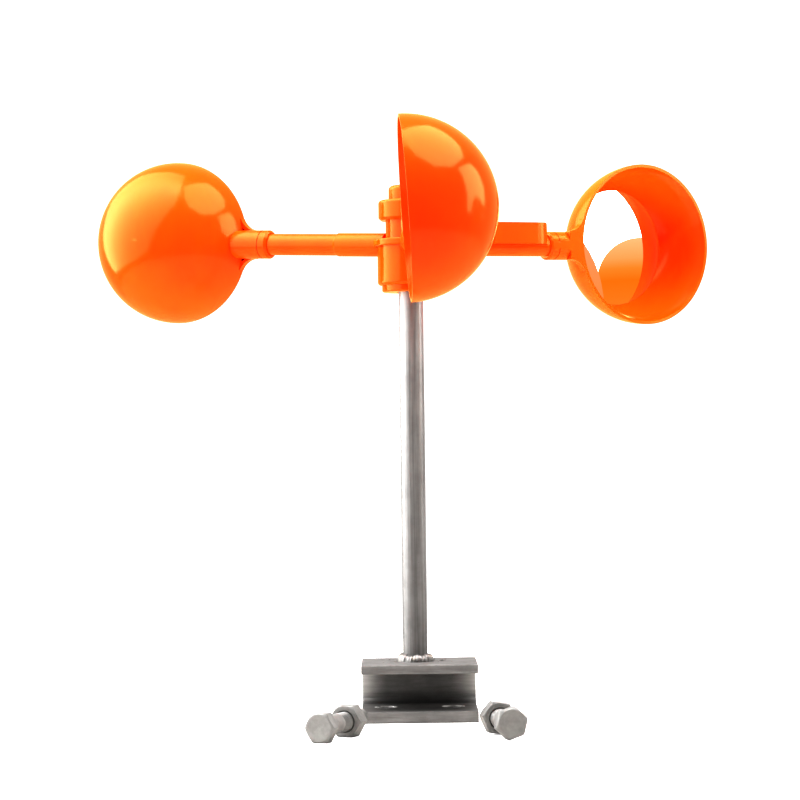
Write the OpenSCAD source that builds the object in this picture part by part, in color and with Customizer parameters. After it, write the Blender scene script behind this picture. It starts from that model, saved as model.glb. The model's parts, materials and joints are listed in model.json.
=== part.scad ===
// Three-cup wind rotor on a clamp-foot mast, in millimetres.
// The origin is on the mast axis in the plane of the bracket's underside,
// +Z runs up the mast and the mouth of the clamp bracket faces -Y.

/* [Clamp bracket] */
// Length of the channel along X
bracket_w = 75; // [70:1:90]
// Depth of the channel from its mouth to the back of the web
bracket_d = 64; // [60:1:72]
// Height of the channel over both flanges
bracket_h = 37; // [34:1:42]
// Thickness of the upper flange, which carries the mast
top_flange_t = 5.6; // [5:0.2:7]
// Thickness of the lower flange, which takes the clamp bolts
bottom_flange_t = 7.2; // [6:0.2:8]
// Thickness of the web at the back
web_t = 6; // [5:0.5:8]
// Inner bend radius between web and flanges
bend_r = 6; // [3:0.5:8]
// Offset of the bracket's centre from the mast axis
bracket_shift = 2.5; // [0:0.5:3]
// Diameter of the two clamp bolt holes
clamp_hole_d = 13; // [12:0.5:14]
// Distance between the two clamp bolt holes
clamp_hole_pitch = 44; // [36:1:48]

/* [Mast] */
// Outside diameter of the mast tube
mast_d = 16; // [15:0.5:16.5]
// Height of the mast's upper end, where the lower bearing sits
mast_top = 284; // [240:1:340]
// Length of the weld bead's leg on the bracket
weld_leg = 4.6; // [3:0.2:6]

/* [Bearings] */
// Diameter of the spindle and of the bearing bores
spindle_d = 12; // [12:1:12]
// Outside diameter of a bearing
bearing_d = 28; // [28:1:28]
// Width of a bearing
bearing_w = 8; // [8:1:8]
// Number of balls in a bearing
ball_n = 8; // [6:1:8]
// Distance between the two bearings
bearing_gap = 22; // [21:0.5:24]

/* [Hub] */
// Diameter of the hub's barrel
barrel_d = 43; // [42:0.5:46]
// Diameter of the thin flange above the barrel
flange_d = 48; // [46:0.5:52]
// Diameter of the neck under the cap
neck_d = 32; // [32:0.5:34]
// Diameter of the cap's collar
collar_d = 41.2; // [39:0.2:44]
// Diameter of the round boss on top of the cap
boss_d = 27.6; // [27:0.2:30]

/* [Arms] */
// Diameter of an arm near its cup
arm_d = 14.3; // [13:0.1:15]
// Diameter of an arm near the hub
arm_root_d = 15.4; // [15:0.1:15.8]
// Distance from the mast axis to the step between both diameters
arm_step = 54; // [45:1:70]
// Rise of the front arm towards its cup, in degrees
arm_rise = 2.3; // [1:0.1:3]
// Turn of the whole rotor at rest, in degrees
rest_turn = 2.4; // [0:0.1:120]

/* [Cups] */
// Outside radius of a cup
cup_r = 55; // [50:1:56]
// Wall thickness of a cup
cup_wall = 2; // [1.6:0.1:2.4]
// Distance from the mast axis to a cup's centre
cup_at = 184; // [182:1:200]
// Distance of the arm's axis behind the rim plane
arm_lead = 9; // [7:0.5:12]
// Diameter of the socket that takes the arm
socket_d = 19; // [18:0.5:21]
// Depth of the mirror disc behind the rim plane
mirror_at = 34.6; // [30:0.2:38]
// Thickness of the mirror disc
mirror_t = 1.5; // [1:0.1:2]
// Turn of the left cup round its arm, as assembled, in degrees
twist_left = -2; // [-8:0.5:8]
// Turn of the front cup round its arm, as assembled, in degrees
twist_front = 3.5; // [-8:0.5:8]
// Turn of the right cup round its arm, as assembled, in degrees
twist_right = 0; // [-8:0.5:8]
// How far the right cup stands out from its home on the arm
seat_right = 4; // [0:0.5:6]

/* [Loose fasteners] */
// Length of the bolts under the head
bolt_len = 50; // [48:1:55]
// Width across flats of the bolt heads
head_af = 18; // [18:1:19]
// Width across flats of the nuts
nut_af = 19; // [18:1:19]

/* [Hidden] */
$fn = 96;

eps = 0.01;                 // overlap between touching shapes
fit = 0.02;                 // radial gap of a fixed seat
plastic = "#ff5a0a";
steel = "#a9aaa8";
zinc = "#b9bab6";
nut_zinc = "#a2a3a0";

// levels up the mast
washer_t = 2;
lock_nut_h = 10;
z_low = mast_top;                          // lower bearing
z_spacer = z_low + bearing_w;
z_up = z_spacer + bearing_gap;             // upper bearing
z_washer = z_up + bearing_w;
z_nut = z_washer + washer_t;
z_barrel = mast_top - 2;                   // underside of the barrel
z_foot = z_barrel - 4.3;                   // underside of the bottom cap
z_flange = z_barrel + 25.5;                // underside of the thin flange
z_flange_top = z_flange + 4.5;
z_neck = z_barrel + 48;                    // top of the neck, inside the cap
z_collar = z_barrel + 42.4;                // underside of the cap's collar
z_collar_top = z_collar + 13.1;
z_top = z_collar_top + 9.6;                // top of the cap's boss
z_arms = z_barrel + 26.4;                  // arm axes cross the mast axis here

// arms and cup seats, in the order left, front, right
arm_angles = [150.2, 269.2, 30.7];         // as assembled, before rest_turn
arm_rises = [arm_rise + 0.5, arm_rise, arm_rise - 0.8];
seats = [0, 0, seat_right];
twists = [twist_left, twist_front, twist_right];

// places along an arm, from the mast axis
stub_at = 13.2;             // inner end of the arm's stub
root_at = 17.5;             // where an arm's root meets the hub
socket_at = 104.5;          // mouth of a cup's socket
socket_end = 126;           // bottom of a cup's socket
stub_d = 9;

// ---------------------------------------------------------------- helpers
// points on an arc round [x, y]
function arc(x, y, r, from, to, steps) =
    [for (i = [0:steps]) let (a = from + (to - from) * i / steps) [x + r * cos(a), y + r * sin(a)]];

// circumscribed radius of a hexagon with the given width across flats
function corner_r(flats) = flats / cos(30) / 2;

module ring(inner_r, outer_r, z0, z1) {
    translate([0, 0, z0]) difference() {
        cylinder(r = outer_r, h = z1 - z0);
        translate([0, 0, -1]) cylinder(r = inner_r, h = z1 - z0 + 2);
    }
}

// a cone along X
module taper(x0, x1, d0, d1) {
    translate([x0, 0, 0]) rotate([0, 90, 0]) cylinder(d1 = d0, d2 = d1, h = x1 - x0);
}

// a rod along X
module rod(x0, x1, d) {
    translate([x0, 0, 0]) rotate([0, 90, 0]) cylinder(d = d, h = x1 - x0);
}

// a nut with both hexagon faces and both bore ends chamfered
module hex_nut(flats, h, bore_r) {
    face_r = flats / 2 - 0.15;
    side_r = corner_r(flats) + 0.25;
    edge_h = 1;
    sink_h = 0.9;
    difference() {
        intersection() {
            cylinder(d = flats / cos(30), h = h, $fn = 6);
            rotate_extrude() polygon([
                [0, 0], [face_r, 0], [side_r, edge_h], [side_r, h - edge_h], [face_r, h], [0, h]]);
        }
        translate([0, 0, -1]) cylinder(r = bore_r, h = h + 2);
        translate([0, 0, -eps]) cylinder(r1 = bore_r + 0.8, r2 = bore_r - 0.1, h = sink_h);
        translate([0, 0, h - sink_h + eps])
            cylinder(r1 = bore_r - 0.1, r2 = bore_r + 0.8, h = sink_h);
    }
}

// the frame of arm k: X outward along the arm, Y towards the cup's round side
module at_arm(k) {
    rotate([0, 0, arm_angles[k] + rest_turn])
        translate([0, 0, z_arms])
            rotate([0, -arm_rises[k], 0])
                children();
}

// the frame of cup k: as at_arm, shifted along the arm and turned round it
module at_seat(k) {
    at_arm(k) translate([seats[k], 0, 0]) rotate([twists[k], 0, 0]) children();
}

// ---------------------------------------------------------------- foot and mast
bracket_mouth_y = -34;
bracket_back_y = bracket_mouth_y + bracket_d;
bracket_edge_r = 3;         // outer bend radius

// channel section: X is the model's Y, Y is the model's Z
module bracket_section() {
    inner_z0 = bottom_flange_t;
    inner_z1 = bracket_h - top_flange_t;
    edge_y = bracket_back_y - bracket_edge_r;
    bend_y = bracket_back_y - web_t - bend_r;
    polygon(concat(
        [[bracket_mouth_y, 0]],
        arc(edge_y, bracket_edge_r, bracket_edge_r, -90, 0, 6),
        arc(edge_y, bracket_h - bracket_edge_r, bracket_edge_r, 0, 90, 6),
        [[bracket_mouth_y, bracket_h], [bracket_mouth_y, inner_z1]],
        arc(bend_y, inner_z1 - bend_r, bend_r, 90, 0, 8),
        arc(bend_y, inner_z0 + bend_r, bend_r, 0, -90, 8),
        [[bracket_mouth_y, inner_z0]]
    ));
}

module clamp_bracket() {
    color("#7f7f7d") difference() {
        translate([bracket_shift - bracket_w / 2, 0, 0])
            rotate([90, 0, 90])
                linear_extrude(height = bracket_w) bracket_section();
        for (side = [-1, 1])
            translate([bracket_shift + side * clamp_hole_pitch / 2, 0, -1])
                cylinder(d = clamp_hole_d, h = bottom_flange_t + 2);
    }
}

// convex bead, a little higher than it is wide, with a narrow land at its top
module weld_bead() {
    inner_r = mast_d / 2 + fit;
    bead_h = weld_leg * 1.15;
    land = 0.18;            // share of the leg that stays at the top
    color("#c4c4c0") translate([0, 0, bracket_h])
        rotate_extrude()
            polygon(concat(
                [[inner_r, 0]],
                [for (i = [0:6]) let (a = 90 * i / 6)
                    [inner_r + weld_leg * (land + (1 - land) * cos(a)), bead_h * sin(a)]],
                [[inner_r, bead_h]]));
}

module mast_tube() {
    color(steel) ring(spindle_d / 2 + fit, mast_d / 2, bracket_h, mast_top);
}

// ---------------------------------------------------------------- spindle and bearings
spindle_depth = 55;         // length of the spindle inside the mast
spindle_end = z_nut + lock_nut_h + 4;
spindle_bore_r = spindle_d / 2 + fit;
pitch_r = (spindle_d + bearing_d) / 4;
ball_r = 2.381;
groove_r = 2.42;
inner_race_r = pitch_r - 1.4;
outer_race_r = pitch_r + 1.4;
seal_inset = 0.3;           // from a bearing's face to its seal
seal_t = 0.5;

module spindle() {
    color(zinc) {
        translate([0, 0, mast_top - spindle_depth])
            cylinder(d = spindle_d, h = spindle_end - mast_top + spindle_depth);
        translate([0, 0, spindle_end - eps])
            cylinder(d1 = spindle_d - 0.4, d2 = spindle_d - 3, h = 1.4);
    }
}

module grooved_race(z, inner_r, outer_r) {
    color("silver") translate([0, 0, z]) difference() {
        ring(inner_r, outer_r, 0, bearing_w);
        translate([0, 0, bearing_w / 2])
            rotate_extrude() translate([pitch_r, 0]) circle(r = groove_r);
    }
}

module inner_race(z) grooved_race(z, spindle_bore_r, inner_race_r);
module outer_race(z) grooved_race(z, outer_race_r, bearing_d / 2);

module balls(z) {
    color("silver") translate([0, 0, z + bearing_w / 2])
        for (i = [0:ball_n - 1]) rotate([0, 0, 360 * i / ball_n])
            translate([pitch_r, 0, 0]) sphere(r = ball_r);
}

module cage(z) {
    color("goldenrod") translate([0, 0, z + bearing_w / 2]) difference() {
        ring(pitch_r - 0.9, pitch_r + 0.9, -3, 3);
        for (i = [0:ball_n - 1]) rotate([0, 0, 360 * i / ball_n])
            rod(pitch_r - 2, pitch_r + 2, 2 * ball_r + 0.24);
    }
}

module seals(z) {
    color("#202020") translate([0, 0, z])
        for (z0 = [seal_inset, bearing_w - seal_inset - seal_t])
            ring(inner_race_r + 0.1, outer_race_r - 0.03, z0, z0 + seal_t);
}

module lower_inner_race() inner_race(z_low);
module lower_outer_race() outer_race(z_low);
module lower_balls() balls(z_low);
module lower_cage() cage(z_low);
module lower_seals() seals(z_low);
module upper_inner_race() inner_race(z_up);
module upper_outer_race() outer_race(z_up);
module upper_balls() balls(z_up);
module upper_cage() cage(z_up);
module upper_seals() seals(z_up);

module spacer_tube() {
    color(steel) ring(spindle_bore_r, 8, z_spacer, z_up);
}

module bearing_washer() {
    color(zinc) ring(spindle_bore_r, 9.8, z_washer, z_nut);
}

module lock_nut() {
    color(zinc) translate([0, 0, z_nut]) hex_nut(nut_af, lock_nut_h, spindle_bore_r);
}

// ---------------------------------------------------------------- hub
spigot_r = 16;              // bottom cap's spigot, inside the barrel
shoulder_r = 12;            // hub bore between the bearings

module hub_body() {
    barrel_r = barrel_d / 2;
    flange_r = flange_d / 2;
    neck_r = neck_d / 2;
    pocket_r = bearing_d / 2 + fit;
    barrel_edge = 2.3;
    flange_edge = 1;
    neck_root = 0.6;
    neck_edge = 0.8;
    color(plastic) difference() {
        rotate_extrude() polygon(concat(
            [[spigot_r + fit, z_barrel]],
            arc(barrel_r - barrel_edge, z_barrel + barrel_edge, barrel_edge, -90, 0, 5),
            [[barrel_r, z_flange]],
            arc(flange_r - flange_edge, z_flange + flange_edge, flange_edge, -90, 0, 3),
            arc(flange_r - flange_edge, z_flange_top - flange_edge, flange_edge, 0, 90, 3),
            [[neck_r + neck_root, z_flange_top], [neck_r, z_flange_top + neck_root],
             [neck_r, z_neck - neck_edge], [neck_r - neck_edge, z_neck],
             [pocket_r, z_neck], [pocket_r, z_up],
             [shoulder_r, z_up], [shoulder_r, z_spacer],
             [pocket_r, z_spacer], [pocket_r, z_low], [spigot_r + fit, z_low]]
        ));
        // arm seats, each with a narrower hole for the stub
        for (k = [0:2]) at_arm(k) {
            rod(root_at, 40, arm_root_d + 2 * fit);
            rod(stub_at - 0.2, root_at + 1, stub_d + 2 * fit);
        }
    }
}

// screw cap over the neck; its inner lip holds the upper outer race down
module hub_cap() {
    collar_r = collar_d / 2;
    collar_chamfer = 1.6;
    collar_edge = 2;
    boss_r = boss_d / 2;
    boss_edge = 2.8;
    neck_bore_r = neck_d / 2 + fit;
    cavity_r = 11.6;
    lip_inner_r = 12.2;
    lip_outer_r = 13.9;
    z_roof = z_top - 2.6;
    z_ledge = z_neck + 0.1;
    color(plastic) rotate_extrude() polygon(concat(
        [[neck_bore_r, z_collar], [collar_r - collar_chamfer, z_collar],
         [collar_r, z_collar + collar_chamfer]],
        arc(collar_r - collar_edge, z_collar_top - collar_edge, collar_edge, 0, 90, 5),
        [[boss_r, z_collar_top]],
        arc(boss_r - boss_edge, z_top - boss_edge, boss_edge, 0, 90, 6),
        [[0, z_top], [0, z_roof], [cavity_r, z_roof], [cavity_r, z_collar_top - 1],
         [lip_inner_r, z_collar_top - 2], [lip_inner_r, z_washer], [lip_outer_r, z_washer],
         [lip_outer_r, z_ledge], [neck_bore_r, z_ledge]]
    ));
}

// lower closing ring; its spigot holds the lower outer race up
module bottom_cap() {
    bore_r = 9;
    outer_r = 18.7;
    chamfer = 0.8;
    recess_r = 12.4;
    z_recess = z_low - 1.2;
    color(plastic) rotate_extrude() polygon([
        [bore_r, z_foot], [outer_r - chamfer, z_foot], [outer_r, z_foot + chamfer],
        [outer_r, z_barrel], [spigot_r, z_barrel], [spigot_r, z_low],
        [recess_r, z_low], [recess_r, z_recess], [bore_r, z_recess]
    ]);
}

// ---------------------------------------------------------------- arms
step_len = 1.2;             // length of the cone between both diameters

module arm() {
    color(plastic) difference() {
        union() {
            rod(stub_at, root_at + 1, stub_d);
            rod(root_at + fit, arm_step - step_len, arm_root_d);
            taper(arm_step - step_len, arm_step, arm_root_d, arm_d);
            rod(arm_step, socket_end - 0.2, arm_d);
        }
        // bore, open at the cup's end
        rod(30, socket_end + 5, 9.6);
    }
}

module arm_left() at_arm(0) arm();
module arm_front() at_arm(1) arm();
module arm_right() at_arm(2) arm();

// block that sits over the upper half of the right arm; its outer end is rounded
module arm_block() {
    x0 = 57;
    x1 = socket_at + seat_right - 2.2;
    y0 = -12.5;
    y1 = 2;
    underside = 0.6;
    top = 14.8;
    top_edge = 4;
    corner_x = 12;          // half axes of the elliptic corner
    corner_y = 8;
    chamfer = 2;
    margin = 5;             // overshoot of the cutting shapes
    color(plastic) at_arm(2) difference() {
        intersection() {
            // outline from above
            linear_extrude(height = 20)
                polygon(concat(
                    [[x0 + chamfer, y0], [x1 - corner_x, y0]],
                    [for (i = [1:7]) let (a = -90 + 90 * i / 7)
                        [x1 - corner_x + corner_x * cos(a), y0 + corner_y + corner_y * sin(a)]],
                    [[x1, y1], [x0, y1], [x0, y0 + chamfer]]));
            // outline from the side
            translate([0, y1 + margin, 0]) rotate([90, 0, 0])
                linear_extrude(height = y1 - y0 + 2 * margin)
                    polygon(concat(
                        [[x0 - margin, underside], [x1 + margin, underside],
                         [x1 + margin, top - top_edge - 5], [x1, top - top_edge - 1]],
                        arc(x1 - top_edge, top - top_edge, top_edge, 0, 90, 6),
                        [[x0 - margin, top]]));
        }
        rod(x0 - margin, x1 + margin, arm_d + 2 * fit);
    }
}

// ---------------------------------------------------------------- cups
cup_lift = 0.8;             // cup centre above the arm axis
rim_y = -arm_lead;          // rim plane in the arm's frame
shell_r = cup_r - cup_wall; // inside of the shell
gusset_r = 13;              // concave edge of a gusset
gusset_t = 2;
bead_w = 2.2;               // bead along the concave edge
bead_h = 5;

// a cup's own frame: Z is the cup's axis and points to the round side
module at_cup() {
    translate([cup_at, rim_y, cup_lift]) rotate([-90, 0, 0]) children();
}

// concave web between rim and socket, with a bead along the edge;
// side is 1 above the socket and -1 below it
module gusset(side) {
    socket_r = socket_d / 2;
    // the edge is an arc that touches the rim and the socket
    arc_z = side * (socket_r + gusset_r);
    reach = cup_r + gusset_r;
    rise = arc_z - cup_lift;
    arc_x = cup_at - sqrt(reach * reach - rise * rise);
    touch_x = cup_at + (arc_x - cup_at) * cup_r / reach;
    touch_z = cup_lift + rise * cup_r / reach;
    end_x = cup_at - 40;
    outline = [[arc_x, 0], [end_x, 0], [end_x, touch_z], [touch_x + 1, touch_z],
        [arc_x, side * (socket_r + 0.5)]];
    module blank(h) {
        // both sides run anticlockwise
        translate([0, rim_y + h, 0]) rotate([90, 0, 0])
            linear_extrude(height = h)
                polygon([for (i = side > 0 ? [0:4] : [4:-1:0]) outline[i]]);
    }
    module edge_cutter(r) {
        translate([arc_x - 0.2, 30, arc_z]) rotate([90, 0, 0]) cylinder(r = r, h = 60);
    }
    difference() {
        blank(gusset_t);
        edge_cutter(gusset_r);
    }
    difference() {
        blank(bead_h);
        edge_cutter(gusset_r);
        difference() {
            translate([arc_x - 30, rim_y + gusset_t, side > 0 ? 0 : -60]) cube([120, 10, 60]);
            edge_cutter(gusset_r + bead_w);
        }
    }
}

module cup() {
    mouth_len = 1.4;
    ledge_z = mirror_at + mirror_t;
    ledge_r = 34.5;
    ledge_outer_r = 45;     // inside the shell's wall or beyond it
    color(plastic) difference() {
        union() {
            // shell
            at_cup() sphere(r = cup_r);
            // socket with a chamfered mouth
            taper(socket_at, socket_at + mouth_len, socket_d - 2.6, socket_d);
            rod(socket_at + mouth_len, cup_at - 34, socket_d);
            gusset(1);
            gusset(-1);
        }
        // hollow with the ledge that carries the mirror
        difference() {
            at_cup() sphere(r = shell_r);
            at_cup() rotate_extrude() polygon([
                [ledge_r, ledge_z], [ledge_outer_r, ledge_z], [ledge_outer_r, ledge_z + 6],
                [ledge_r + 3, ledge_z + 3], [ledge_r, ledge_z + 2]]);
        }
        // open side
        translate([cup_at - 90, rim_y - 100, -90]) cube([180, 100, 180]);
        // bore of the socket
        rod(socket_at - 1, socket_end, arm_d + 2 * fit);
        // shallow line round the socket near its mouth
        translate([socket_at + 6, 0, 0]) rotate([0, 90, 0])
            ring(socket_d / 2 - 0.35, socket_d / 2 + 2, 0, 0.7);
    }
}

module cup_left() at_seat(0) cup();
module cup_front() at_seat(1) cup();
module cup_right() at_seat(2) cup();

// radius of the mirror disc at a depth behind the rim plane
function mirror_r(depth) = sqrt(shell_r * shell_r - depth * depth) - 0.15;

// flat disc with a bevelled edge that follows the shell
module mirror_disc() {
    color("white") at_cup() translate([0, 0, mirror_at])
        cylinder(r1 = mirror_r(mirror_at), r2 = mirror_r(mirror_at + mirror_t), h = mirror_t);
}

module mirror_left() at_seat(0) mirror_disc();
module mirror_front() at_seat(1) mirror_disc();
module mirror_right() at_seat(2) mirror_disc();

// ---------------------------------------------------------------- loose bolts and nuts
head_h = 7.5;
nut_h = 10;
shank_r = 6;
flat_down = 30;             // turn that puts a hexagon's flat underneath

// nut places run from the head's outer face to the nut's near face
// the left head and nut lie on flats
left_az = 65;
left_nut_at = 35;
left_tilt = asin((nut_af - head_af) / 2 / left_nut_at);
left_place = [-59.2, -140, head_af / 2 * cos(left_tilt) + 0.01];

// the right head and nut stand on corners
right_az = 102;
right_head_turn = 17;
right_nut_turn = 8;
right_nut_at = 31;
right_head_z = corner_r(head_af) * cos(30 - right_head_turn);
right_nut_z = corner_r(nut_af) * cos(30 - right_nut_turn);
right_tilt = asin((right_nut_z - right_head_z) / right_nut_at);
// a bolt that dips towards its tip is raised a little
right_lift = right_tilt < 0 ? -8 * sin(right_tilt) : 0;
right_place = [57.2, -138, right_head_z + right_lift + 0.02];

// frame of a loose bolt: Z runs from the head's outer face to the tip
module at_bolt(place, az, tilt) {
    translate(place) rotate([0, 0, az]) rotate([0, 90 - tilt, 0]) children();
}

module at_left_bolt() at_bolt(left_place, left_az, left_tilt) children();
module at_right_bolt() at_bolt(right_place, right_az, right_tilt) children();

module bolt(turn) {
    side_r = corner_r(head_af) + 0.3;
    tip_z = head_h + bolt_len;
    color(zinc) {
        rotate([0, 0, turn]) intersection() {
            cylinder(d = head_af / cos(30), h = head_h, $fn = 6);
            rotate_extrude() polygon([
                [0, 0], [head_af / 2 - 0.4, 0], [side_r, 1.3], [side_r, head_h], [0, head_h]]);
        }
        rotate_extrude() polygon([
            [0, head_h - 1], [shank_r, head_h - 1], [shank_r, tip_z - 1.2],
            [shank_r - 1.1, tip_z], [0, tip_z]]);
    }
}

module loose_nut(z, turn) {
    color(nut_zinc) translate([0, 0, z]) rotate([0, 0, turn])
        hex_nut(nut_af, nut_h, shank_r + 0.05);
}

module bolt_left() at_left_bolt() bolt(flat_down);
module bolt_right() at_right_bolt() bolt(flat_down - right_head_turn);
module nut_left() at_left_bolt() loose_nut(left_nut_at, flat_down);
module nut_right() at_right_bolt() loose_nut(right_nut_at, flat_down + right_nut_turn);

clamp_bracket();
weld_bead();
mast_tube();
spindle();
lower_inner_race();
lower_outer_race();
lower_balls();
lower_cage();
lower_seals();
spacer_tube();
upper_inner_race();
upper_outer_race();
upper_balls();
upper_cage();
upper_seals();
bearing_washer();
lock_nut();
hub_body();
hub_cap();
bottom_cap();
arm_left();
arm_front();
arm_right();
cup_left();
cup_front();
cup_right();
mirror_left();
mirror_front();
mirror_right();
arm_block();
bolt_left();
bolt_right();
nut_left();
nut_right();
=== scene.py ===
import json
import math

import bmesh
import bpy
from mathutils import Matrix, Vector, noise


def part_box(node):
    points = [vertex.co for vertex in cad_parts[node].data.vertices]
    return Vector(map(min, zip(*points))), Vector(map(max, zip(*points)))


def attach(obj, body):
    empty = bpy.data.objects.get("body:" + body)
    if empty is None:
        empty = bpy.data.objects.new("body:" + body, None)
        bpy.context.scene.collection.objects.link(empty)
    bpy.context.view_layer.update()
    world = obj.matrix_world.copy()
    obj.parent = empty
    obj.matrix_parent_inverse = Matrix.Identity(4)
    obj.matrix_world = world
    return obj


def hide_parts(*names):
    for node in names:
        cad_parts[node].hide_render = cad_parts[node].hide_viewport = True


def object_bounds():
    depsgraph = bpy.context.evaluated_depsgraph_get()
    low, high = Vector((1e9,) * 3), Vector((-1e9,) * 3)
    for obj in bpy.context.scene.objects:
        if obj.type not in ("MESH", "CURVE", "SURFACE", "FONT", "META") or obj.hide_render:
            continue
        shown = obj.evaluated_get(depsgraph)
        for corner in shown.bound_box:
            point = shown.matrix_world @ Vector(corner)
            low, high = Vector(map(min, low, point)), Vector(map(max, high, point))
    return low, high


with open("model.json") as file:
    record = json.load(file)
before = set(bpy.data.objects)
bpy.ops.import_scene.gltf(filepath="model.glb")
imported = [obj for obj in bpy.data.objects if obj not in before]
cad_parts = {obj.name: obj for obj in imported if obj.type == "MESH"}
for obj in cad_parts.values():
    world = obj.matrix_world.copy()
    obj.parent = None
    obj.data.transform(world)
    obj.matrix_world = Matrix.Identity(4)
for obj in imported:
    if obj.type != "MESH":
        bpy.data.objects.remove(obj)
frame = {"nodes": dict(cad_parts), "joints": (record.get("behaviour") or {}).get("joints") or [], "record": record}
cad_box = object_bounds()
NODES = frame["nodes"]
RECORD = frame["record"]
JOINTS = {joint["name"]: joint for joint in frame["joints"]}
MOUNTS = {mount["name"]: mount for mount in RECORD["mounts"]}
scene = bpy.context.scene

MM = 0.001
WHITE = (1.0, 1.0, 1.0)
BLACK = (0.0, 0.0, 0.0)


# ------------------------------------------------------------------ shader helpers
class Shader:
    """Short calls that add and link the nodes of one material or world."""

    def __init__(self, owner, output="ShaderNodeOutputMaterial"):
        self.owner = owner
        owner.use_nodes = True
        self.tree = owner.node_tree
        self.tree.nodes.clear()
        self.output = self.new(output)

    def new(self, kind, inputs=None, **props):
        """Add a node; inputs maps socket names or indices to values or to other sockets."""
        node = self.tree.nodes.new(kind)
        for key, value in props.items():
            setattr(node, key, value)
        for key, value in (inputs or {}).items():
            self.put(node.inputs[key], value)
        return node

    def put(self, socket, value):
        if isinstance(value, bpy.types.NodeSocket):
            self.tree.links.new(value, socket)
        elif socket.type == "RGBA":
            socket.default_value = (*value, 1.0)
        else:
            socket.default_value = value

    def show(self, node):
        self.put(self.output.inputs[0], node.outputs[0])

    def coordinates(self, kind):
        return self.new("ShaderNodeTexCoord").outputs[kind]

    def split(self, vector):
        return self.new("ShaderNodeSeparateXYZ", {0: vector}).outputs

    def noise(self, scale=1, detail=2, rough=0.5, stretch=None, distortion=0, coords=None):
        """Noise; stretch gives a separate scale for each axis."""
        coords = coords or self.coords
        if stretch:
            coords = self.new("ShaderNodeVectorMath", {0: coords, 1: stretch},
                              operation="MULTIPLY").outputs[0]
        return self.new("ShaderNodeTexNoise", {
            "Vector": coords, "Scale": scale, "Detail": detail, "Roughness": rough,
            "Distortion": distortion}).outputs["Fac"]

    def voronoi(self, scale, output="Distance"):
        node = self.new("ShaderNodeTexVoronoi", {"Vector": self.coords, "Scale": scale})
        return node.outputs[output]

    def span(self, value, at, to=(0, 1), smooth=False):
        """Map the range `at` to the range `to`, clamped."""
        return self.new("ShaderNodeMapRange", {0: value, 1: at[0], 2: at[1], 3: to[0], 4: to[1]},
                        interpolation_type="SMOOTHSTEP" if smooth else "LINEAR").outputs[0]

    def math(self, operation, first, second=0.0):
        return self.new("ShaderNodeMath", {0: first, 1: second}, operation=operation).outputs[0]

    def plus(self, first, second):
        return self.math("ADD", first, second)

    def minus(self, first, second):
        return self.math("SUBTRACT", first, second)

    def times(self, product, *factors):
        for factor in factors:
            product = self.math("MULTIPLY", product, factor)
        return product

    def mix(self, amount, under, over):
        """Lay one colour over another."""
        node = self.new("ShaderNodeMix", {}, data_type="RGBA")
        for key, value in ((0, amount), (6, under), (7, over)):
            self.put(node.inputs[key], value)
        return node.outputs[2]

    def mix_shader(self, amount, first, second):
        return self.new("ShaderNodeMixShader",
                        {0: amount, 1: first.outputs[0], 2: second.outputs[0]})

    def ramp(self, value, *stops, interpolation="LINEAR"):
        """Colour ramp; each stop is (position, colour)."""
        node = self.new("ShaderNodeValToRGB", {0: value})
        node.color_ramp.interpolation = interpolation
        elements = node.color_ramp.elements
        while len(elements) < len(stops):
            elements.new(0.5)
        for element, (position, color) in zip(elements, stops):
            element.position = position
            element.color = (*color, 1.0)
        return node.outputs[0]

    def bump(self, height, strength, distance):
        return self.new("ShaderNodeBump", {"Height": height, "Strength": strength,
                                           "Distance": distance}).outputs[0]

    def occlusion(self, distance):
        """Openness of the surface: low in bores and inside corners."""
        return self.new("ShaderNodeAmbientOcclusion", {"Distance": distance},
                        samples=8, only_local=True).outputs["AO"]


class Surface(Shader):
    """A principled material, textured in object coordinates."""

    def __init__(self, name):
        super().__init__(bpy.data.materials.new(name))
        self.bsdf = self.new("ShaderNodeBsdfPrincipled")
        self.show(self.bsdf)
        self.coords = self.coordinates("Object")

    def set(self, **values):
        for key, value in values.items():
            name = key.replace("_", " ").title().replace("Ior", "IOR")
            self.put(self.bsdf.inputs[name], value)


def shade(color, factor):
    return [channel * factor for channel in color]


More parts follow.
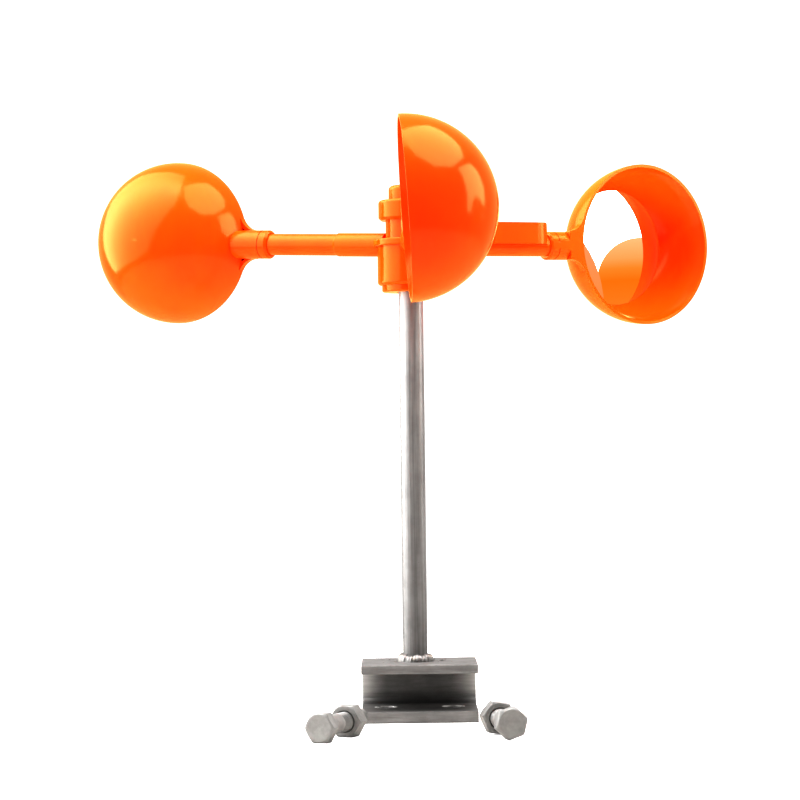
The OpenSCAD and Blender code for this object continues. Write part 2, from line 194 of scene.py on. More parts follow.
# ------------------------------------------------------------------ materials
def orange_plastic():
    """Glossy moulded plastic: cloudy pigment, flow marks, orange-peel gloss, fine scuffs."""
    ior = 1.53
    mat = Surface("orange_abs_look")
    cloud = mat.noise(scale=17, detail=3, distortion=0.4)
    fleck = mat.noise(scale=900, rough=0.6)
    flow = mat.noise(stretch=(60, 60, 12), detail=4, rough=0.6, distortion=1.2)
    color = mat.ramp(cloud, (0.30, (0.94, 0.073, 0.0010)), (0.55, (0.98, 0.086, 0.0015)),
                     (0.75, (1.0, 0.099, 0.0022)))
    color = mat.mix(mat.span(flow, at=(0.42, 0.62), to=(0, 0.22)), color,
                    over=(1.0, 0.106, 0.002))
    color = mat.mix(mat.span(fleck, at=(0.60, 0.80), to=(0, 0.10)), color,
                    over=(0.80, 0.060, 0.001))
    # painted shade: a thin dark line where the surface is occluded, in moulded corners and grooves
    groove_shade = mat.span(mat.occlusion(distance=0.0030), at=(0.35, 0.82), to=(0.75, 0))
    color = mat.mix(groove_shade, color, over=(0.45, 0.016, 0.0006))
    # fine scratches, in patches
    scuff = mat.noise(stretch=(2200, 160, 420), distortion=0.6)
    patch = mat.noise(scale=23)
    scuffs = mat.times(mat.span(scuff, at=(0.62, 0.74)), mat.span(patch, at=(0.52, 0.66)))
    rough = mat.plus(mat.span(cloud, at=(0.3, 0.7), to=(0.125, 0.155)), mat.times(scuffs, 0.10))
    peel = mat.noise(scale=260)
    height = mat.plus(peel, mat.times(scuffs, -0.35))
    normal = mat.bump(height, strength=0.032, distance=0.00025)
    tint = mat.mix(cloud, (1.0, 0.91, 0.45), over=(1.0, 0.83, 0.37))
    mat.set(base_color=color, roughness=rough, ior=ior, normal=normal, specular_ior_level=0.0)
    # a separate gloss keeps its warm tint right out to the grazing edges
    gloss = mat.new("ShaderNodeBsdfGlossy", {"Color": tint, "Roughness": rough, "Normal": normal})
    fresnel = mat.new("ShaderNodeFresnel", {"IOR": ior, "Normal": normal})
    mat.show(mat.mix_shader(fresnel.outputs[0], mat.bsdf, gloss))
    return mat.owner


def steel(name, dark, light, rough, metallic, streak, peel, shade_fall=None, extra_marks=None):
    """Steel with streaks, cloudy plating and small pits.

    streak is the noise scale per axis, peel the bump strength, shade_fall (bottom, top, brightness
    at the bottom) a painted shade that darkens the colour towards the bottom, and extra_marks a
    function that adds further marks, painted light and shade among them, to the colour."""
    mat = Surface(name)
    cloud = mat.noise(scale=55, detail=4, rough=0.62)
    lines = mat.noise(stretch=streak, detail=4, rough=0.65)
    fine = mat.noise(scale=1400, rough=0.6)
    pits = mat.voronoi(scale=420)
    color = mat.mix(mat.span(lines, at=(0.32, 0.68)), dark, over=light)
    color = mat.mix(mat.span(cloud, at=(0.40, 0.70), to=(0, 0.45)), color, over=shade(dark, 0.72))
    pit = mat.span(pits, at=(0.02, 0.16), to=(1, 0))
    pit = mat.times(pit, mat.span(mat.noise(scale=120), at=(0.55, 0.66)))
    color = mat.mix(mat.times(pit, 0.55), color, over=shade(dark, 0.35))
    # painted shade: the colour darkens towards the bottom
    if shade_fall:
        bottom, top, low = shade_fall
        bright = mat.span(mat.split(mat.coords)[2], at=(bottom, top), to=(low, 1))
        color = mat.mix(mat.minus(1.0, bright), color, over=BLACK)
    if extra_marks:
        color = extra_marks(mat, color, lines, light)
    roughness = mat.plus(mat.span(lines, at=(0.3, 0.7), to=rough),
                         mat.span(cloud, at=(0.45, 0.75), to=(0, 0.10)))
    height = mat.plus(mat.times(lines, 0.7), mat.times(fine, 0.3))
    height = mat.minus(height, mat.times(pit, 1.2))
    mat.set(base_color=color, roughness=roughness, metallic=metallic,
            normal=mat.bump(height, strength=peel, distance=0.00012))
    return mat.owner


BRACKET_LOW, BRACKET_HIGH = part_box("clamp_bracket")
CHANNEL_FLOOR = MOUNTS["throat_floor"]["pos_m"][2]
CHANNEL_ROOF = MOUNTS["throat_roof"]["pos_m"][2]


def bracket_dust_and_painted_light(mat, color, lines, light):
    """Dust on top, painted shade in the corners and the channel's lower bend, and painted highlights in and around
    the channel: towards its cut ends and round the bolt holes.
    """
    normal = mat.split(mat.new("ShaderNodeNewGeometry").outputs["Normal"])
    dust = mat.span(normal[2], at=(0.6, 0.95), to=(0, 0.30))
    color = mat.mix(dust, color, over=(0.055, 0.053, 0.050))
    # painted shade: darker where the surface is occluded, in inside corners and bores
    occlusion_shade = mat.span(mat.occlusion(distance=0.016), at=(0.30, 0.85), to=(0.85, 0))
    x, y, z = (mat.split(mat.coords)[i] for i in range(3))
    middle = (BRACKET_LOW.x + BRACKET_HIGH.x) / 2
    half = (BRACKET_HIGH.x - BRACKET_LOW.x) / 2
    front, top, floor_z = BRACKET_LOW.y, BRACKET_HIGH.z, CHANNEL_FLOOR

    # the channel's own faces, without the cut ends (facing X) and the web's back (facing +Y)
    side = mat.math("ABSOLUTE", mat.minus(x, middle))
    inside = mat.times(
        mat.span(y, at=(front + 0.006, front + 0.014)),
        mat.span(z, at=(CHANNEL_ROOF, CHANNEL_ROOF + 0.0006), to=(1, 0)),
        mat.span(z, at=(floor_z - 0.0004, floor_z + 0.0004)),
        mat.span(mat.math("ABSOLUTE", normal[0]), at=(0.3, 0.6), to=(1, 0)),
        mat.span(normal[1], at=(0.2, 0.5), to=(1, 0)))
    # painted highlight, brighter towards the channel's cut ends, and painted shade, blackest in the lower bend
    end_highlight = mat.math("POWER", mat.span(side, at=(half - 0.017, half - 0.0006)), 1.5)
    end_highlight = mat.times(end_highlight, mat.span(lines, at=(0.3, 0.7), to=(0.75, 1)))
    low = mat.span(z, at=(floor_z + 0.0015, floor_z + 0.0090), to=(1, 0))
    end_highlight = mat.times(end_highlight, mat.minus(1.0, mat.times(low, 0.75)))
    keep = mat.minus(1.0, mat.times(end_highlight, inside))
    occlusion_shade = mat.times(occlusion_shade, keep)
    bend_shade = mat.times(low, inside, mat.times(keep, 0.62))
    color = mat.mix(mat.times(end_highlight, inside, 0.85), color, over=shade(light, 2.5))
    color = mat.mix(bend_shade, color, over=(0.020, 0.019, 0.017))
    mat.set(specular_ior_level=mat.span(bend_shade, at=(0, 0.6), to=(0.5, 0.06)))
    color = mat.mix(occlusion_shade, color, over=(0.018, 0.017, 0.015))

    # knocks along the top front edge, down to bright metal
    knocks = mat.noise(stretch=(160, 60, 60), detail=3, rough=0.6)
    edge = mat.times(mat.span(z, at=(top - 0.0007, top - 0.0004)),
                     mat.span(y, at=(front + 0.0006, front + 0.0010), to=(1, 0)),
                     mat.span(knocks, at=(0.34, 0.74), to=(0.12, 0.60)))
    color = mat.mix(edge, color, over=(0.46, 0.455, 0.448))

    # painted highlight: bright rims round the two bolt holes in the channel floor
    bolts = MOUNTS["clamp_bolts"]
    half_spacing = bolts["dims"]["spacing_x_mm"] / 2000.0
    hole_radius = bolts["dims"]["hole_r_mm"] / 1000.0
    for sign in (-1, 1):
        off_x = mat.minus(x, bolts["pos_m"][0] + sign * half_spacing)
        off_y = mat.minus(y, bolts["pos_m"][1])
        far = mat.math("SQRT", mat.plus(mat.times(off_x, off_x), mat.times(off_y, off_y)))
        rim_highlight = mat.times(
            mat.span(far, at=(hole_radius - 0.0003, hole_radius + 0.0002)),
            mat.span(far, at=(hole_radius + 0.0008, hole_radius + 0.0013), to=(1, 0)),
            mat.span(z, at=(floor_z - 0.0011, floor_z - 0.0008)),
            mat.span(z, at=(floor_z + 0.0003, floor_z + 0.0006), to=(1, 0)),
            mat.span(mat.noise(scale=240), at=(0.36, 0.56), to=(0.25, 1)))
        color = mat.mix(rim_highlight, color, over=(0.95, 0.94, 0.92))
    return color


def zinc(name, shade_and_stain=0.0):
    """Zinc plating: pale, lightly crystalline, dull in patches, with optional painted shade in bores and corners
    and optional stains.
    """
    mat = Surface(name)
    cell = mat.voronoi(scale=520, output="Color")
    crystal = mat.new("ShaderNodeSeparateColor", {0: cell}).outputs
    cloud = mat.noise(scale=140, detail=4, rough=0.6)
    fine = mat.noise(scale=2400)
    color = mat.ramp(cloud, (0.30, (0.270, 0.267, 0.262)), (0.52, (0.315, 0.312, 0.306)),
                     (0.72, (0.360, 0.357, 0.350)))
    color = mat.mix(mat.times(crystal[0], 0.12), color, over=(0.21, 0.206, 0.20))
    if shade_and_stain:
        # painted shade: darker where the surface is occluded, round the bore and in corners
        occlusion_shade = mat.span(mat.occlusion(distance=0.006), at=(0.45, 0.90), to=(shade_and_stain, 0))
        color = mat.mix(occlusion_shade, color, over=(0.012, 0.011, 0.010))
        stain = mat.noise(scale=95, detail=3, rough=0.6)
        color = mat.mix(mat.span(stain, at=(0.45, 0.70), to=(0, 0.45)), color,
                        over=(0.14, 0.136, 0.130))
    rough = mat.plus(mat.span(crystal[1], at=(0, 1), to=(0.34, 0.40)),
                     mat.span(cloud, at=(0.3, 0.7), to=(0.05, -0.02)))
    height = mat.plus(mat.times(cloud, 0.6), mat.times(fine, 0.4))
    mat.set(base_color=color, roughness=rough, metallic=0.55,
            normal=mat.bump(height, strength=0.12, distance=0.00006))
    return mat.owner


def weld_metal():
    """Raw weld metal: bright ripples with soot-dark valleys and straw tints."""
    mat = Surface("weld_look")
    cloud = mat.noise(scale=330, detail=3, rough=0.6)
    pointiness = mat.new("ShaderNodeNewGeometry").outputs["Pointiness"]
    valley = mat.span(pointiness, at=(0.44, 0.52), to=(1, 0))
    color = mat.ramp(cloud, (0.32, (0.17, 0.165, 0.16)), (0.50, (0.27, 0.265, 0.26)),
                     (0.70, (0.36, 0.355, 0.345)))
    color = mat.mix(mat.times(valley, 0.45), color, over=(0.16, 0.15, 0.14))
    straw = mat.span(mat.noise(scale=150), at=(0.58, 0.72), to=(0, 0.35))
    color = mat.mix(straw, color, over=(0.52, 0.42, 0.26))
    grain = mat.noise(scale=1700, rough=0.6)
    mat.set(base_color=color, roughness=mat.span(cloud, at=(0.3, 0.7), to=(0.30, 0.46)),
            metallic=0.7, normal=mat.bump(grain, strength=0.35, distance=0.00012))
    return mat.owner


def mirror():
    """Silvered disc: faint wipe marks and specks over a perfectly sharp reflection."""
    mat = Surface("mirror_look")
    wipe = mat.noise(stretch=(35, 35, 240), detail=3, distortion=1.4)
    speck = mat.voronoi(scale=260)
    patch = mat.noise(scale=70, detail=3, rough=0.55)
    spots = mat.times(mat.span(speck, at=(0.03, 0.10), to=(1, 0)),
                      mat.span(patch, at=(0.56, 0.64)))
    color = mat.mix(mat.span(wipe, at=(0.45, 0.75), to=(0, 0.10)), (0.97, 0.97, 0.975),
                    over=(0.88, 0.89, 0.90))
    color = mat.mix(mat.times(spots, 0.3), color, over=(0.6, 0.6, 0.6))
    mat.set(base_color=color, roughness=0.0, metallic=1.0,
            normal=mat.bump(mat.noise(scale=14), strength=0.02, distance=0.00010))
    return mat.owner


def grained(name, scale, dark, light, rough, metallic, bump):
    """A plain material with one fine grain in its colour, roughness and bump."""
    mat = Surface(name)
    grain = mat.noise(scale=scale, detail=3, rough=0.6)
    mat.set(base_color=mat.ramp(grain, (0.3, dark), (0.7, light)), metallic=metallic,
            roughness=mat.span(grain, at=(0.3, 0.7), to=rough),
            normal=mat.bump(grain, strength=bump, distance=0.0001))
    return mat.owner


LOOKS = {
    "orange_abs": orange_plastic(),
    "bracket_steel": steel("bracket_look", dark=(0.180, 0.175, 0.172), light=(0.262, 0.258, 0.253),
                           rough=(0.44, 0.56), metallic=0.35, streak=(40, 420, 420), peel=0.30,
                           extra_marks=bracket_dust_and_painted_light),
    # the mast's colour carries painted shade, darker towards the bottom
    "mast_steel": steel("mast_look", dark=(0.31, 0.302, 0.297), light=(0.50, 0.492, 0.486),
                        rough=(0.32, 0.42), metallic=0.66, streak=(900, 900, 14), peel=0.22,
                        shade_fall=(0.04, 0.26, 0.64)),
    "bearing_steel": steel("bearing_look", dark=(0.62, 0.62, 0.64), light=(0.78, 0.78, 0.80),
                           rough=(0.12, 0.2), metallic=1.0, streak=(300, 300, 2000), peel=0.08),
    "zinc_hardware": zinc("zinc_look"),
    "weld_metal": weld_metal(),
    "mirror": mirror(),
    "seal_rubber": grained("seal_look", scale=700, dark=(0.012, 0.012, 0.013),
                           light=(0.035, 0.034, 0.033), rough=(0.5, 0.7), metallic=0.0, bump=0.3),
    "cage_brass": grained("cage_look", scale=420, dark=(0.48, 0.33, 0.12),
                          light=(0.72, 0.54, 0.24), rough=(0.24, 0.42), metallic=1.0, bump=0.2),
}
slot_of = {part["node"]: part["material_slot"] for part in RECORD["subparts"]}
for node_name, node_object in NODES.items():
    node_object.data.materials.clear()
    node_object.data.materials.append(LOOKS[slot_of[node_name]])
nut_look = zinc("zinc_nut_look", shade_and_stain=0.9)
for node_name in ("nut_left", "nut_right"):
    NODES[node_name].data.materials[0] = nut_look


# ------------------------------------------------------------------ rounded edges on CAD nodes
def soften(node, width, segments=2):
    modifiers = NODES[node].modifiers
    weld = modifiers.new("weld_seams", "WELD")
    weld.merge_threshold = 2e-6
    bevel = modifiers.new("edge_round", "BEVEL")
    bevel.width = width
    bevel.segments = segments
    bevel.limit_method = "ANGLE"
    bevel.angle_limit = math.radians(32.0)
    bevel.harden_normals = True
    bevel.loop_slide = False


soften("clamp_bracket", width=0.00055, segments=3)
soften("nut_left", width=0.00022)
soften("nut_right", width=0.00022)


# ------------------------------------------------------------------ mesh helpers
def to_mesh(name, shape, smooth=False):
    mesh = bpy.data.meshes.new(name)
    shape.to_mesh(mesh)
    shape.free()
    if smooth:
        mesh.polygons.foreach_set("use_smooth", [True] * len(mesh.polygons))
    return mesh


def add_piece(name, shape, body, slot, sharp_degrees, replaced):
    """Add a product piece that rides on a body and replaces a CAD node."""
    bmesh.ops.remove_doubles(shape, verts=shape.verts, dist=1e-7)
    bmesh.ops.recalc_face_normals(shape, faces=shape.faces)
    mesh = to_mesh(name, shape, smooth=True)
    mesh.set_sharp_from_angle(angle=math.radians(sharp_degrees))
    piece = bpy.data.objects.new(name, mesh)
    scene.collection.objects.link(piece)
    mesh.materials.append(LOOKS[slot])
    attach(piece, body)
    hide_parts(replaced)


def skin_rows(shape, rows):
    """Skin closed rings of points, all of one length; a row of one point is a pole."""
    vert_rows = [[shape.verts.new(point) for point in row] for row in rows]
    for lower, upper in zip(vert_rows, vert_rows[1:]):
        count = max(len(lower), len(upper))
        for i in range(count):
            j = (i + 1) % count
            if len(lower) == 1:
                shape.faces.new((lower[0], upper[i], upper[j]))
            elif len(upper) == 1:
                shape.faces.new((lower[i], upper[0], lower[j]))
            else:
                shape.faces.new((lower[i], upper[i], upper[j], lower[j]))


# ------------------------------------------------------------------ loose bolts, with a cut thread
# in mm; heights run from the outer face of the head to the tip
BOLT_SEGMENTS = 96
HEAD_FLATS = 17.98
HEAD_HEIGHT = 7.5
HEAD_CORNER = HEAD_FLATS / 2 / math.cos(math.radians(30)) - 0.10   # where corner rounding starts
HEAD_FACE = HEAD_FLATS / 2 - 0.55                                  # radius of the flat outer face
CORNER_KEPT = 0.15               # share of the radius beyond HEAD_CORNER that is kept
SHANK_RADIUS = 5.985
SHANK_STEP = 1.9
THREAD_LENGTH = 32.0
THREAD_PITCH = 1.75
THREAD_DEPTH = 0.98
THREAD_STEPS = 12                # rings in one pitch
TIP_CHAMFER = 1.35


def hex_radius(degrees):
    """Radius of the head's hexagon, with softly rounded corners."""
    from_flat = (degrees + 30.0) % 60.0 - 30.0
    radius = HEAD_FLATS / 2 / math.cos(math.radians(from_flat))
    if radius > HEAD_CORNER:
        return HEAD_CORNER + (radius - HEAD_CORNER) * CORNER_KEPT
    return radius


def head_profile(turn):
    """(radius, height) of each ring of the head; either may be a function of the angle."""
    def side(angle):
        return hex_radius(angle + turn)

    def chamfer(angle):
        return 0.22 + max(0.0, side(angle) - HEAD_FACE - 0.12) * 0.62

    return [
        # outer face and its chamfer
        (2.6, 0.08), (5.4, 0.05), (HEAD_FACE - 0.55, 0.0), (HEAD_FACE - 0.12, 0.02),
        (lambda angle: min(HEAD_FACE + 0.12, side(angle) - 0.02), 0.14),
        (lambda angle: side(angle) - 0.06, chamfer),
        # flats
        (lambda angle: side(angle) - 0.005, lambda angle: chamfer(angle) + 0.18),
        (side, lambda angle: (chamfer(angle) + HEAD_HEIGHT) / 2),
        (lambda angle: side(angle) - 0.005, HEAD_HEIGHT - 0.62),
        (lambda angle: side(angle) - 0.16, HEAD_HEIGHT - 0.42),
        # round seat, then the neck into the shank
        (8.25, HEAD_HEIGHT - 0.36), (8.15, HEAD_HEIGHT - 0.02), (7.9, HEAD_HEIGHT),
        (6.75, HEAD_HEIGHT), (6.25, HEAD_HEIGHT + 0.12), (SHANK_RADIUS, HEAD_HEIGHT + 0.55),
    ]


def thread_radius(height, thread_start, total):
    """Radius as a function of the angle, at one height of the thread."""
    fade = min(1.0, max(0.0, (height - thread_start + 1.7) / 2.4))
    chamfer = max(0.0, height - (total - TIP_CHAMFER)) * 0.95

    def radius(angle):
        phase = ((height - THREAD_PITCH * angle / 360.0) / THREAD_PITCH) % 1.0
        crest = abs(phase - 0.5) * 2.0           # 0 in the valley, 1 at the crest
        groove_shade = min(1.0, max(0.0, (1.0 - crest - 0.12) / 0.72))
        return min(SHANK_RADIUS - THREAD_DEPTH * groove_shade * fade, SHANK_RADIUS - chamfer)

    return radius


def shank_profile(total):
    """(radius, height) of each ring from the plain shank to the tip."""
    thread_start = total - THREAD_LENGTH
    profile = []
    z = HEAD_HEIGHT + 1.4
    while z < thread_start - 2.2:
        profile.append((SHANK_RADIUS, z))
        z += SHANK_STEP
    profile.append((SHANK_RADIUS, thread_start - 2.0))
    z = thread_start - 1.9
    end = total - 0.02
    while z < end - 1e-6:
        profile.append((thread_radius(z, thread_start, total), z))
        z += THREAD_PITCH / THREAD_STEPS
    return profile + [(4.72, total - 0.03), (4.45, total), (2.2, total)]


def bolt_placement(node, axis):
    """Length of a CAD bolt, and the matrix that puts local Z on its axis, from the head."""
    points = [vert.co for vert in NODES[node].data.vertices]
    along = [point.dot(axis) for point in points]
    length = max(along) - min(along)
    tip = [point for point, place in zip(points, along) if place > max(along) - 1e-5]
    center = sum(tip, Vector()) / len(tip)
    tip_ring = [point for point in tip if (point - center).length > 0.004]
    if len(tip_ring) > 2:
        center = (Vector(map(min, *tip_ring)) + Vector(map(max, *tip_ring))) / 2
    start = center - axis * length
    x = Vector((0, 0, 1)) - axis * axis.z
    x.normalize()
    y = axis.cross(x)
    return length, Matrix(((x.x, y.x, axis.x, start.x), (x.y, y.y, axis.y, start.y),
                           (x.z, y.z, axis.z, start.z), (0, 0, 0, 1)))


def build_bolt(side, turn):
    """One bolt, its hexagon turned by some degrees about its axis."""
    axis = Vector(JOINTS[f"{side}_bolt_travel"]["axis"]).normalized()
    length, placement = bolt_placement(f"bolt_{side}", axis)
    total = length / MM

    def pole(height):
        return [placement @ Vector((0, 0, height * MM))]

    def ring(radius, height):
        points = []
        for i in range(BOLT_SEGMENTS):
            angle = 360.0 * i / BOLT_SEGMENTS
            reach = radius(angle) if callable(radius) else radius
            z = height(angle) if callable(height) else height
            points.append(placement @ Vector((reach * math.cos(math.radians(angle)) * MM,
                                              reach * math.sin(math.radians(angle)) * MM,
                                              z * MM)))
        return points

    profile = head_profile(turn) + shank_profile(total)
    shape = bmesh.new()
    skin_rows(shape, [pole(0.10)] + [ring(*entry) for entry in profile] + [pole(total)])
    add_piece(f"bolt_{side}_threaded", shape, f"{side}_bolt", "zinc_hardware",
              sharp_degrees=34.0, replaced=f"bolt_{side}")


build_bolt("left", turn=0.0)
build_bolt("right", turn=17.0)


# ------------------------------------------------------------------ hand-run weld bead with spatter
BEAD_SEGMENTS = 288
BEAD_STEPS = 14                  # from the mast down to the bracket
BEAD_RIPPLES = 30
RIPPLE_HEIGHT = 0.00042
GRAIN_HEIGHT = 0.00010
DROP_SEGMENTS = 18
DROP_STEPS = 8
DROP_FLATNESS = 0.85

# droplets round the mast: x and y from its axis, radius
SPATTER = [
    (0.0178, 0.0022, 0.00150), (0.0150, -0.0098, 0.00075), (-0.0102, 0.0058, 0.00085),
    (-0.0132, -0.0035, 0.00065), (0.0192, 0.0052, 0.00085), (-0.0065, -0.0145, 0.00060),
    (0.0046, -0.0172, 0.00055), (-0.0170, 0.0105, 0.00060), (0.0128, 0.0128, 0.00075),
    (0.0235, -0.0060, 0.00050), (-0.0208, -0.0092, 0.00045),
]


def wobble(x, y, z):
    return noise.noise(Vector((x, y, z)))


def bead_section(angle, center, inner, leg, tall):
    """Closed outline of the bead at one angle, bulging outward between mast and bracket."""
    cos_a, sin_a = math.cos(angle), math.sin(angle)

    def point(radius, z):
        return Vector((center.x + radius * cos_a, center.y + radius * sin_a, z))

    fine = wobble(cos_a * 5.1, sin_a * 5.1, 8.4)
    width = leg * (0.86 + 0.16 * wobble(cos_a * 1.6, sin_a * 1.6, 3.1) + 0.13 * fine)
    height = tall * (0.86 + 0.16 * wobble(cos_a * 2.2, sin_a * 2.2, 1.7) + 0.10 * fine)
    phase = (angle / math.tau * BEAD_RIPPLES
             + 0.55 * wobble(cos_a * 3.0, sin_a * 3.0, 0.4)) % 1.0
    # each ripple swells over 0.8 of its length and leaves a gap
    ripple = 0.5 - 0.5 * math.cos(math.tau * phase * 1.25) if phase < 0.8 else 0.0
    outline = [point(inner, center.z + height)]
    for k in range(BEAD_STEPS + 1):
        t = k / BEAD_STEPS
        slope = math.radians(90 * t)
        radius = inner + width * (0.10 + 0.90 * math.sin(slope) ** 0.92)
        z = center.z + height * math.cos(slope) ** 0.90
        swell = math.sin(math.pi * t)
        lump = swell * (ripple - 0.35) * RIPPLE_HEIGHT
        lump += wobble(radius * cos_a * 900, radius * sin_a * 900, z * 900) * GRAIN_HEIGHT * swell
        outline.append(point(radius + lump * math.sin(slope),
                             max(center.z, z + lump * math.cos(slope))))
    outline.append(point(inner, center.z))
    return outline


def drop_rows(seed, base, size):
    """Rings of one flattened droplet, from its base centre to its top."""
    rows = [[base]]
    for v in range(DROP_STEPS):
        rise = math.pi / 2 * v / DROP_STEPS
        row = []
        for u in range(DROP_SEGMENTS):
            angle = math.tau * u / DROP_SEGMENTS
            uneven = 1.0 + 0.16 * wobble(math.cos(angle) * 1.4 + seed, math.sin(angle) * 1.4,
                                         v * 0.3 + seed * 2.1)
            radius = size * uneven * math.cos(rise) ** 0.8
            if v == 0:
                radius *= 0.93
            z = size * DROP_FLATNESS * math.sin(rise) * (0.9 + 0.1 * uneven)
            row.append(base + Vector((radius * math.cos(angle), radius * math.sin(angle), z)))
        rows.append(row)
    rows.append([base + Vector((0, 0, size * DROP_FLATNESS))])
    return rows


def build_weld():
    low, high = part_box("weld_bead")
    mast_low, mast_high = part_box("mast_tube")
    center = Vector(((mast_low.x + mast_high.x) / 2, (mast_low.y + mast_high.y) / 2, low.z))
    inner = (mast_high.x - mast_low.x) / 2 + 0.00001
    leg = (high.x - low.x) / 2 - inner
    shape = bmesh.new()
    sections = []
    for i in range(BEAD_SEGMENTS):
        angle = math.tau * i / BEAD_SEGMENTS
        outline = bead_section(angle, center, inner, leg, high.z - low.z)
        sections.append([shape.verts.new(point) for point in outline])
    for here, after in zip(sections, sections[1:] + sections[:1]):
        for k in range(len(here)):
            m = (k + 1) % len(here)
            shape.faces.new((here[k], here[m], after[m], after[k]))
    for seed, (x, y, size) in enumerate(SPATTER):
        skin_rows(shape, drop_rows(seed, center + Vector((x, y, 0)), size))
    add_piece("weld_bead_run", shape, "mast", "weld_metal", sharp_degrees=60.0,
              replaced="weld_bead")


build_weld()


# ------------------------------------------------------------------ stage: floor and world
def add_stage(name, shape, shader, place=(0, 0, 0), smooth=False, hidden_from=()):
    """Add a stage object, hidden from the listed kinds of ray."""
    mesh = to_mesh(name, shape, smooth)
    mesh.materials.append(shader.owner)
    thing = bpy.data.objects.new(name, mesh)
    thing.location = place
    for ray in hidden_from:
        setattr(thing, f"visible_{ray}", False)
    scene.collection.objects.link(thing)


def floor_shader():
    """Near white to the camera, darker to reflections, paler at the back as bounce light."""
    mat = Shader(bpy.data.materials.new("floor_look"))
    rays = mat.new("ShaderNodeLightPath").outputs
    near = mat.span(mat.split(mat.coordinates("Object"))[1], at=(-0.52, -0.12), smooth=True)
    bounce = mat.mix(near, (0.47, 0.46, 0.44), over=(0.96, 0.94, 0.90))
    unseen_color = mat.mix(rays["Is Diffuse Ray"], (0.30, 0.29, 0.275), over=bounce)
    unseen = mat.new("ShaderNodeBsdfDiffuse", {0: unseen_color})
    cloud = mat.noise(scale=40, coords=mat.coordinates("Object"))
    pale = mat.ramp(cloud, (0.0, (0.90, 0.90, 0.90)), (1.0, (0.94, 0.94, 0.94)))
    diffuse = mat.new("ShaderNodeBsdfDiffuse", {0: pale})
    glow = mat.new("ShaderNodeEmission", {0: WHITE, 1: 0.45})
    seen = mat.new("ShaderNodeAddShader", {0: diffuse.outputs[0], 1: glow.outputs[0]})
    mat.show(mat.mix_shader(rays["Is Camera Ray"], unseen, seen))
    return mat


disc = bmesh.new()
bmesh.ops.create_circle(disc, cap_ends=True, cap_tris=False, segments=128, radius=0.75)
add_stage("floor", disc, floor_shader(), place=(0, 0, cad_box[0].z - 0.0002))


def build_world():
    """White to the camera; to all other rays a grey room, brighter towards the back."""
    world = bpy.data.worlds.new("studio")
    scene.world = world
    sky = Shader(world, "ShaderNodeOutputWorld")
    rays = sky.new("ShaderNodeLightPath").outputs
    white = sky.new("ShaderNodeBackground", {0: WHITE, 1: 1.05})
    depth = sky.span(sky.split(sky.coordinates("Generated"))[1], at=(-1, 1))
    gray = sky.ramp(depth, (0.0, (0.20, 0.195, 0.187)), (0.50, (0.27, 0.263, 0.252)),
                    (0.80, (0.52, 0.51, 0.49)), (1.0, (0.95, 0.93, 0.90)))
    room = sky.new("ShaderNodeBackground", {0: gray, 1: 1.0})
    sky.show(sky.mix_shader(rays["Is Camera Ray"], room, white))


build_world()


# ------------------------------------------------------------------ light panels
def panel_shader(name, strength, fade, dim_in_mirror):
    mat = Shader(bpy.data.materials.new(name))
    light = mat.new("ShaderNodeEmission", {0: WHITE, 1: strength})
    if fade:
        start, end, stops = fade
        run = end - start
        along = mat.new("ShaderNodeVectorMath",
                        {0: mat.coordinates("Object"), 1: run / run.length_squared},
                        operation="DOT_PRODUCT").outputs["Value"]
        offset = start.dot(run) / run.length_squared
        share = mat.ramp(mat.span(along, at=(offset, offset + 1.0)),
                         *[(position, (value,) * 3) for position, value in stops],
                         interpolation="B_SPLINE")
        mat.put(light.inputs[1], mat.times(share, strength))
    if dim_in_mirror:
        # a mirror disc shows the panel as a dim grey one, so its face stays readable
        rays = mat.new("ShaderNodeLightPath").outputs
        height = mat.split(mat.coordinates("Generated"))[2]
        dim = mat.span(height, at=(0, 1), to=(0.34, 0.60), smooth=True)
        gray = mat.new("ShaderNodeEmission", {0: (0.96, 0.98, 1.0), 1: dim})
        light = mat.mix_shader(rays["Is Singular Ray"], light, gray)
    mat.show(light)
    return mat


def panel(name, corners, strength, fade=None, dim_in_mirror=True):
    """A flat luminous sheet that the camera doesn't see and that casts no shadow.

    fade is (start, end, stops); each stop is (share of the way, share of the strength)."""
    shape = bmesh.new()
    face = shape.faces.new([shape.verts.new(corner) for corner in corners])
    bmesh.ops.triangulate(shape, faces=[face])
    add_stage(name, shape, panel_shader(name + "_look", strength, fade, dim_in_mirror),
              hidden_from=("camera", "shadow"))


def cone_to_plane(origin, directions, normal, distance):
    """Where rays from the origin meet the plane at this distance along the normal."""
    normal = Vector(normal).normalized()
    points = []
    for direction in map(Vector, directions):
        reach = distance / direction.normalized().dot(normal) / direction.length
        points.append(origin + direction * reach)
    return points


LEFT_CUP = Vector((-0.1590, 0.0926, 0.3185))     # centre of the left cup's ball

# tall panel on the left that reaches overhead: directions of its corners from the left cup
LEFT_PANEL = [
    (0.07, 0.314, 0.947), (0.078, -0.179, 0.981), (0.001, -0.617, 0.787),
    (-0.219, -0.795, 0.566), (-0.404, -0.859, 0.314), (-0.562, -0.827, 0.004),
    (-0.611, -0.767, -0.194), (-0.72, -0.636, -0.278), (-0.842, -0.407, -0.355),
    (-0.925, -0.048, -0.378), (-0.852, 0.393, -0.348), (-0.809, 0.588, -0.025),
    (-0.673, 0.699, 0.241), (-0.50, 0.78, 0.36), (-0.363, 0.684, 0.632),
    (-0.228, 0.516, 0.826),
]
LEFT_FADE = [(0.0, 0.24), (0.35, 0.36), (0.52, 0.54), (0.68, 1.02), (0.76, 0.96), (0.86, 0.52),
             (1.0, 0.38)]
left_corners = cone_to_plane(LEFT_CUP, LEFT_PANEL, normal=(-0.82, 0.0, 0.57), distance=0.85)
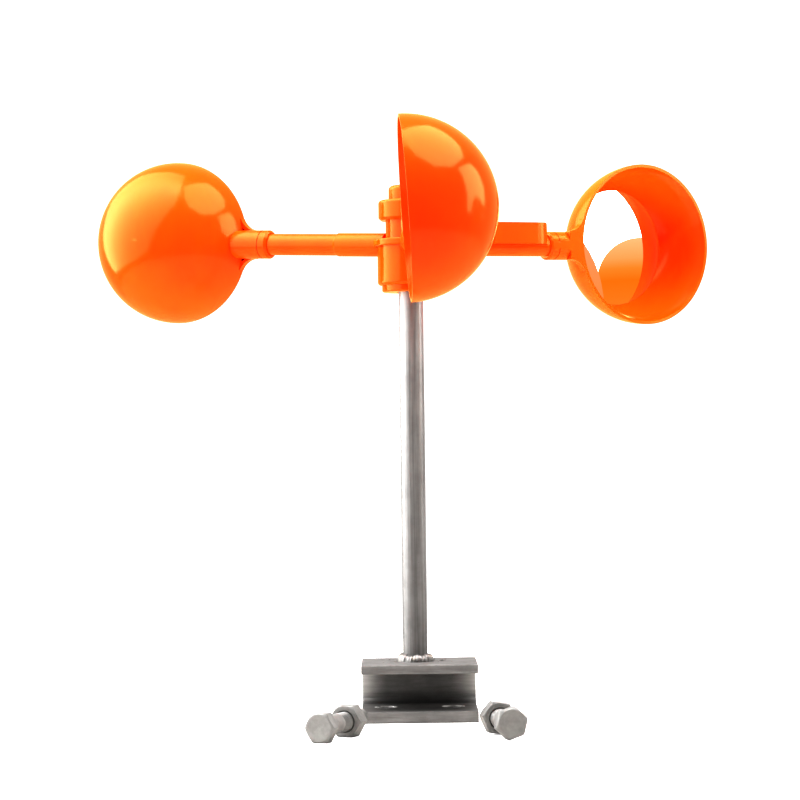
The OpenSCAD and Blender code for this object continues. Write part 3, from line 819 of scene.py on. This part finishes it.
panel("panel_left", left_corners, strength=6.2,
      fade=(left_corners[6], left_corners[13], LEFT_FADE))

# rounded panel overhead on the right: corner x and y from the left cup, per unit of rise
TOP_PANEL = [
    (0.117, -0.135), (0.328, 0.15), (0.456, 0.333), (0.71, 0.348), (1.03, 0.298),
    (1.32, 0.073), (1.39, -0.647), (0.94, -1.06), (0.41, -0.867), (0.21, -0.565),
]
TOP_RISE = 0.95
panel("panel_top", [LEFT_CUP + Vector((x * TOP_RISE, y * TOP_RISE, TOP_RISE))
                    for x, y in TOP_PANEL], strength=4.4)

# upright panel on the right: corner y and z
RIGHT_PANEL = [(-0.37, 0.25), (0.00, 0.175), (0.12, 0.215), (0.265, 0.60), (0.29, 0.84),
               (0.20, 1.02), (-0.02, 1.03), (-0.33, 1.05)]
RIGHT_PANEL_X = 1.0
panel("panel_right", [Vector((RIGHT_PANEL_X, y, z)) for y, z in RIGHT_PANEL], strength=4.6,
      dim_in_mirror=False)


# ------------------------------------------------------------------ lamps
def lamp(name, kind, place, target, **settings):
    """A light aimed at a target, which adds no highlight of its own."""
    light = bpy.data.lights.new(name, kind)
    for key, value in settings.items():
        setattr(light, key, value)
    holder = bpy.data.objects.new(name, light)
    holder.location = place
    holder.rotation_mode = "QUATERNION"
    holder.rotation_quaternion = (Vector(target) - Vector(place)).to_track_quat("-Z", "Y")
    holder.visible_glossy = False
    holder.visible_camera = False
    scene.collection.objects.link(holder)


# a broad light that models the form
lamp("wash_top", "AREA", place=(0.10, -0.15, 1.60), target=(0.0, 0.0, 0.30),
     shape="DISK", size=0.9, energy=21.0)

# narrow soft fills for the right cup
cup_low, cup_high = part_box("cup_right")
right_cup = (cup_low + cup_high) / 2
lamp("glow_right_roof", "SPOT", place=right_cup + Vector((0.010, -0.12, -0.29)),
     target=right_cup + Vector((0.008, 0.0, 0.045)),
     spot_size=math.radians(26.0), spot_blend=0.7, shadow_soft_size=0.04, energy=4.2)
lamp("glow_right_floor", "SPOT", place=right_cup + Vector((-0.03, -0.64, 0.72)),
     target=right_cup + Vector((0.006, 0.0, -0.030)),
     spot_size=math.radians(7.0), spot_blend=0.7, shadow_soft_size=0.06, energy=66.0)


# ------------------------------------------------------------------ orange domes for reflections
def orange_dome(name, place, radius, stops):
    """A glowing ball off to the right, for reflections; stops run from bottom to top."""
    shape = bmesh.new()
    bmesh.ops.create_uvsphere(shape, u_segments=64, v_segments=32, radius=radius)
    mat = Shader(bpy.data.materials.new(name + "_look"))
    height = mat.span(mat.split(mat.coordinates("Object"))[2], at=(-radius, radius))
    mat.show(mat.new("ShaderNodeEmission", {0: mat.ramp(height, *stops), 1: 1.0}))
    add_stage(name, shape, mat, place=place, smooth=True,
              hidden_from=("camera", "shadow", "diffuse"))


orange_dome("orange_dome_near", place=(0.6268, -0.0192, 0.3212), radius=0.0382,
            stops=[(0.0, (0.86, 0.30, 0.05)), (0.48, (0.88, 0.245, 0.012)),
                   (0.62, (0.88, 0.32, 0.05)), (0.74, (0.88, 0.43, 0.16)),
                   (0.98, (0.86, 0.55, 0.28))])
orange_dome("orange_dome_far", place=(0.573, -0.142, 0.298), radius=0.1015,
            stops=[(0.0, (0.86, 0.30, 0.05)), (0.55, (0.86, 0.34, 0.12)),
                   (1.0, (0.84, 0.42, 0.24))])

# ------------------------------------------------------------------ camera: level, telephoto
CAMERA_PLACE = (-0.0083, -1.710, 0.180)
CAMERA_ROLL = -0.70              # degrees
camera_data = bpy.data.cameras.new("camera")
camera_data.sensor_width = 36.0
camera_data.lens = 117.9
camera_data.shift_y = 0.0525
camera_data.clip_start = 0.05
camera_data.clip_end = 50.0
camera = bpy.data.objects.new("camera", camera_data)
camera.matrix_world = (Matrix.Translation(Vector(CAMERA_PLACE))
                       @ Matrix.Rotation(math.radians(90.0), 4, "X")
                       @ Matrix.Rotation(math.radians(CAMERA_ROLL), 4, "Z"))
scene.collection.objects.link(camera)
scene.camera = camera

scene.view_settings.view_transform = "Standard"
scene.view_settings.look = "None"
scene.view_settings.exposure = 0.34
scene.view_settings.gamma = 0.667
